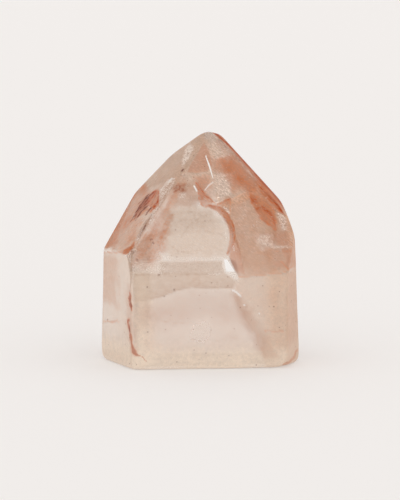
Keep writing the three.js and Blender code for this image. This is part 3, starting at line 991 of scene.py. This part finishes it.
# %% Shader maths
class Wire:
    """One socket of a node tree. Arithmetic on it adds Math nodes; node() adds any other node."""

    def __init__(self, tree, socket=None):
        self.tree, self.socket = tree, socket

    def node(self, kind, settings=(), inputs=(), out=0):
        """Adds a node, sets it up, fills its sockets with values or links, and gives one output."""
        made = self.tree.nodes.new(kind)
        for key, value in dict(settings).items():
            setattr(made, key, value)
        for key, value in dict(inputs).items():
            if isinstance(value, Wire):
                self.tree.links.new(value.socket, made.inputs[key])
            else:
                made.inputs[key].default_value = value
        return Wire(self.tree, made.outputs[out] if len(made.outputs) else None)

    def maths(self, operation, first, second=0.0, clamp=False):
        return self.node("ShaderNodeMath", {"operation": operation, "use_clamp": clamp},
                         {0: first, 1: second})

    def __add__(self, other): return self.maths("ADD", self, other)
    def __radd__(self, other): return self.maths("ADD", other, self)
    def __sub__(self, other): return self.maths("SUBTRACT", self, other)
    def __rsub__(self, other): return self.maths("SUBTRACT", other, self)
    def __mul__(self, other): return self.maths("MULTIPLY", self, other)
    def __rmul__(self, other): return self.maths("MULTIPLY", other, self)
    def __truediv__(self, other): return self.maths("DIVIDE", self, other)

    def step(self, low, high):
        """0 below low, 1 above high, smooth between."""
        return self.node("ShaderNodeMapRange", {"interpolation_type": "SMOOTHSTEP"},
                         {"Value": self, "From Min": low, "From Max": high})

    def held(self):
        """Kept between 0 and 1."""
        return self.maths("ADD", self, 0.0, clamp=True)

    def blend(self, first, second):
        """The first colour where this is 0, the second where it is 1."""
        return self.node("ShaderNodeMix", {"data_type": "RGBA"}, {0: self, 6: first, 7: second}, 2)

    def noise(self, size, detail=3.0, lean=0.0, stretch=1.0):
        """Cloudy noise over the object, size in millimetres, drawn out stretch times along a direction
        that leans so many degrees up from level, seen from the front."""
        where = self.node("ShaderNodeTexCoord", out=3)
        drawn = self.node("ShaderNodeMapping", {"vector_type": "TEXTURE"}, {
            "Vector": where, "Rotation": (0.0, -math.radians(lean), 0.0), "Scale": (stretch, 1.0, 1.0)})
        return self.node("ShaderNodeTexNoise", (), {
            "Vector": drawn, "Scale": 1 / (size * MM), "Detail": detail, "Roughness": 0.55})

    def dots(self, spacing, size, kept):
        """Small round dots, one in some of the cells of a grid of random points. Spacing and size are
        in millimetres, and kept is the share of cells that have a dot."""
        where = self.node("ShaderNodeTexCoord", out=3)
        cells = {"Vector": where, "Scale": 1 / (spacing * MM)}
        far = self.node("ShaderNodeTexVoronoi", {"feature": "F1"}, cells)
        lot = self.node("ShaderNodeTexVoronoi", {"feature": "F1"}, cells, 1)
        lot = self.node("ShaderNodeSeparateColor", (), {"Color": lot})
        return (1 - far.step(0.4 * size / spacing, size / spacing)) * lot.step(1 - kept, 1.02 - kept)

    def along(self, axis):
        """How far along an axis a place is, in millimetres: 0 for across the front, 2 for upwards."""
        where = self.node("ShaderNodeTexCoord", out=3)
        return self.node("ShaderNodeSeparateXYZ", (), {"Vector": where}, axis) / MM

    def layer(self, name):
        """A value kept on the mesh."""
        return self.node("ShaderNodeAttribute", {"attribute_name": name}, out=2)


def colour(red, green, blue):
    """A colour as a screen shows it, 0 to 255, turned into the amounts of light that a shader adds."""
    shown = np.array([red, green, blue]) / 255
    light = np.where(shown <= 0.04045, shown / 12.92, ((shown + 0.055) / 1.055) ** 2.4)
    return (*light.tolist(), 1.0)


def new_material(name):
    """An empty material, its output node and a Wire to build from."""
    material = bpy.data.materials.new(name)
    material.use_nodes = True
    material.node_tree.nodes.clear()
    output = material.node_tree.nodes.new("ShaderNodeOutputMaterial")
    return material, output, Wire(material.node_tree)


# %% [markdown]
# ## Quartz
#
# Quartz bends light with an index of 1.544. The colour of this stone is in its depth, not on its skin:
# light that travels further inside comes out darker and browner, which is what absorption does. The
# polish isn't perfect, so the skin scatters light a little. Under the base it is only ground, and
# scatters more.
#
# Over the clear quartz lie thin layers: milk, painted shade, wash, frost, rust, dark specks and glints,
# which are painted highlights. They are laid over each other like coats of thin paint. Each coat has an
# amount and a colour, and what shows in the end is one rough surface mixed with the glass by the total
# amount. On the point the coats are broken up by fine scratches that lean as the polish does; lower down
# by softer noise.

# %% Quartz material
IOR = 1.544
ABSORPTION_COLOUR = (0.80, 0.56, 0.36, 1.0)
ABSORPTION_DENSITY = 8.0
POLISH_ROUGHNESS = 0.15
GROUND_ROUGHNESS = 0.8
FROST_ROUGHNESS = 0.30
COAT_ROUGHNESS, COAT_IOR, COAT_SHINE = 0.5, 1.45, 0.15
BUMP_STRENGTH, BUMP_DEPTH = 0.35, 0.1
LEAN_CHANGES = (-12.0, -4.0)
SCRATCHED_ABOVE = (26.0, 33.0)
CLEAR = (1.0, 1.0, 1.0, 1.0)
PALE_LIGHT = (0.93, 0.895, 0.87, 1.0)
MILK_COLD = colour(243, 229, 212)
MILK_WARM = colour(212, 156, 120)
FROST_WHITE = colour(238, 227, 218)
# The near white of the painted highlights.
PAINTED_GLINT_WHITE = colour(252, 251, 250)
RUST_PALE = colour(202, 118, 66)
RUST_DEEP = colour(168, 64, 16)
DARK_SPECK = colour(106, 50, 36)
# The brown of the painted shade.
PAINTED_SHADE_BROWN = colour(172, 142, 120)
WASH_ORANGE = colour(182, 104, 62)


def coats(base, *layers):
    """Thin coats laid over a base one by one. Returns the total amount and the colour that shows. A
    coat's share of the colour is its amount over the total so far."""
    total, shown = base
    for amount, tint in layers:
        total = 1 - (1 - total) * (1 - amount)
        shown = (amount / (total + 0.0001)).held().blend(shown, tint)
    return total.held(), shown


def rough_surface(build, tint, roughness, lit=0.0):
    """A plain opaque surface, which may also give off a little light of its own."""
    return build.node("ShaderNodeBsdfPrincipled", (), {
        "Base Color": tint, "Roughness": roughness, "IOR": COAT_IOR, "Specular IOR Level": COAT_SHINE,
        "Emission Color": PALE_LIGHT, "Emission Strength": lit})


def slanted(build, right, detail, left_grain, right_grain):
    """Noise drawn out along the polish, which leans one way on the left and the other way where right
    is 1. A grain is a size in millimetres and a stretch."""
    left_size, left_stretch = left_grain
    right_size, right_stretch = right_grain
    return ((1 - right) * build.noise(left_size, detail, LEFT_LEAN, left_stretch)
            + right * build.noise(right_size, detail, RIGHT_LEAN, right_stretch))


def quartz_material():
    """Glass with absorption inside, mixed with one rough surface that carries all the coats."""
    material, output, build = new_material("quartz")
    fine, broad, grain = build.noise(0.8, 4.0), build.noise(2.6, 3.0), build.noise(0.3, 2.0)
    right, high = build.along(0).step(*LEAN_CHANGES), build.along(2).step(*SCRATCHED_ABOVE)
    scored = slanted(build, right, 3.0, (0.40, 8.0), (0.42, 5.0)).step(0.42, 0.60)
    scratches = high * scored + (1 - high) * 0.5
    hairs = high * slanted(build, right, 2.0, (0.32, 14.0), (0.32, 12.0)).step(0.62, 0.68)
    flecks, pits = build.dots(0.9, 0.32, 0.6), build.dots(1.5, 0.26, 0.3)
    rust, dark, frost, painted_glint, painted_shade, wash, milk, warm, ground = [build.layer(name) for name in (
        "rust", "dark", "frost", "painted_glint", "painted_shade", "wash", "milk", "warm", "ground")]
    uneven = (fine + 0.6 * scratches + 0.5 * grain - 1.0) * milk.step(0.3, 0.7)
    crushed = grain.step(0.46, 0.60) + 0.8 * scratches + 0.7 * flecks
    milk_amount = (milk * (1 + 0.5 * uneven)).held()
    milk_tint = (warm * (0.6 + 0.8 * broad)).held().blend(MILK_COLD, MILK_WARM)
    painted_shade_amount = painted_shade * (0.35 + 1.3 * fine)
    wash_amount = wash * (0.45 + 0.6 * broad + 0.5 * fine)
    frost_amount = (frost * (0.1 + 0.9 * crushed) + 0.22 * hairs).held()
    rust_amount = (rust * (0.1 + 0.5 * fine + 1.25 * scratches)).held()
    rust_tint = (rust * (0.5 + broad)).step(0.25, 0.75).blend(RUST_PALE, RUST_DEEP)
    dark_amount = (dark * (0.5 * grain + 1.3 * scratches) + pits * (0.25 + 0.5 * milk)).held()
    # Among the coats, the shade is painted shade and the glint is painted highlight.
    amount, shown = coats(
        (milk_amount, milk_tint), (painted_shade_amount, PAINTED_SHADE_BROWN), (wash_amount, WASH_ORANGE),
        (frost_amount, FROST_WHITE), (rust_amount, rust_tint), (dark_amount, DARK_SPECK),
        (painted_glint, PAINTED_GLINT_WHITE))
    roughness = (POLISH_ROUGHNESS + FROST_ROUGHNESS * frost_amount
                 + (GROUND_ROUGHNESS - POLISH_ROUGHNESS) * ground).held()
    relief = grain * (0.25 * frost + 0.02) + 0.3 * rust_amount * fine
    bump = build.node("ShaderNodeBump", (), {
        "Strength": BUMP_STRENGTH, "Distance": BUMP_DEPTH * MM, "Height": relief})
    glass = build.node("ShaderNodeBsdfPrincipled", (), {
        "Base Color": CLEAR, "Roughness": roughness, "IOR": IOR,
        "Transmission Weight": 1.0, "Normal": bump})
    coat = rough_surface(build, shown, COAT_ROUGHNESS)
    mixed = build.node("ShaderNodeMixShader", (), {0: amount, 1: glass, 2: coat})
    depth = build.node("ShaderNodeVolumeAbsorption", (), {
        "Color": ABSORPTION_COLOUR, "Density": ABSORPTION_DENSITY})
    build.tree.links.new(mixed.socket, output.inputs["Surface"])
    build.tree.links.new(depth.socket, output.inputs["Volume"])
    return material


stone_mesh.materials.append(quartz_material())
print("quartz nodes:", len(stone_mesh.materials[0].node_tree.nodes))
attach(stone, "root")
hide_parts("quartz_tower")


# %% [markdown]
# ## Sheet and light
#
# The photo has the stone on a pale warm sheet that runs past every edge, lit softly from all round, so
# that hardly any shadow shows. A wide matt sheet that gives off a little light of its own, under an
# even pale sky, does that.

# %% Stage
FLOOR_HALF = 12.0
SHEET_PALE = (0.58, 0.58, 0.58, 1.0)
SHEET_LIT = 0.36
SHEET_ROUGHNESS = 0.9
SHEET_DROP = 0.02


def make_floor():
    """A wide flat sheet just under the stone."""
    mesh = bpy.data.meshes.new("sheet")
    s, z = FLOOR_HALF, -SHEET_DROP * MM
    mesh.from_pydata([(-s, -s, z), (s, -s, z), (s, s, z), (-s, s, z)], [], [(0, 1, 2, 3)])
    floor = place("sheet", mesh)
    material, output, build = new_material("sheet")
    paper = rough_surface(build, SHEET_PALE, SHEET_ROUGHNESS, SHEET_LIT)
    build.tree.links.new(paper.socket, output.inputs["Surface"])
    mesh.materials.append(material)
    return floor


def make_sky():
    """An even, slightly warm light from every side."""
    world = bpy.data.worlds.new("sky")
    world.use_nodes = True
    background = world.node_tree.nodes["Background"]
    background.inputs["Color"].default_value = PALE_LIGHT
    background.inputs["Strength"].default_value = 1.0
    bpy.context.scene.world = world


floor = make_floor()
make_sky()

scene = bpy.context.scene
scene.view_settings.view_transform = "Standard"
scene.cycles.use_denoising = True
scene.cycles.max_bounces = 40
scene.cycles.transmission_bounces = 40
scene.cycles.glossy_bounces = 16
scene.cycles.transparent_max_bounces = 24
scene.cycles.diffuse_bounces = 4
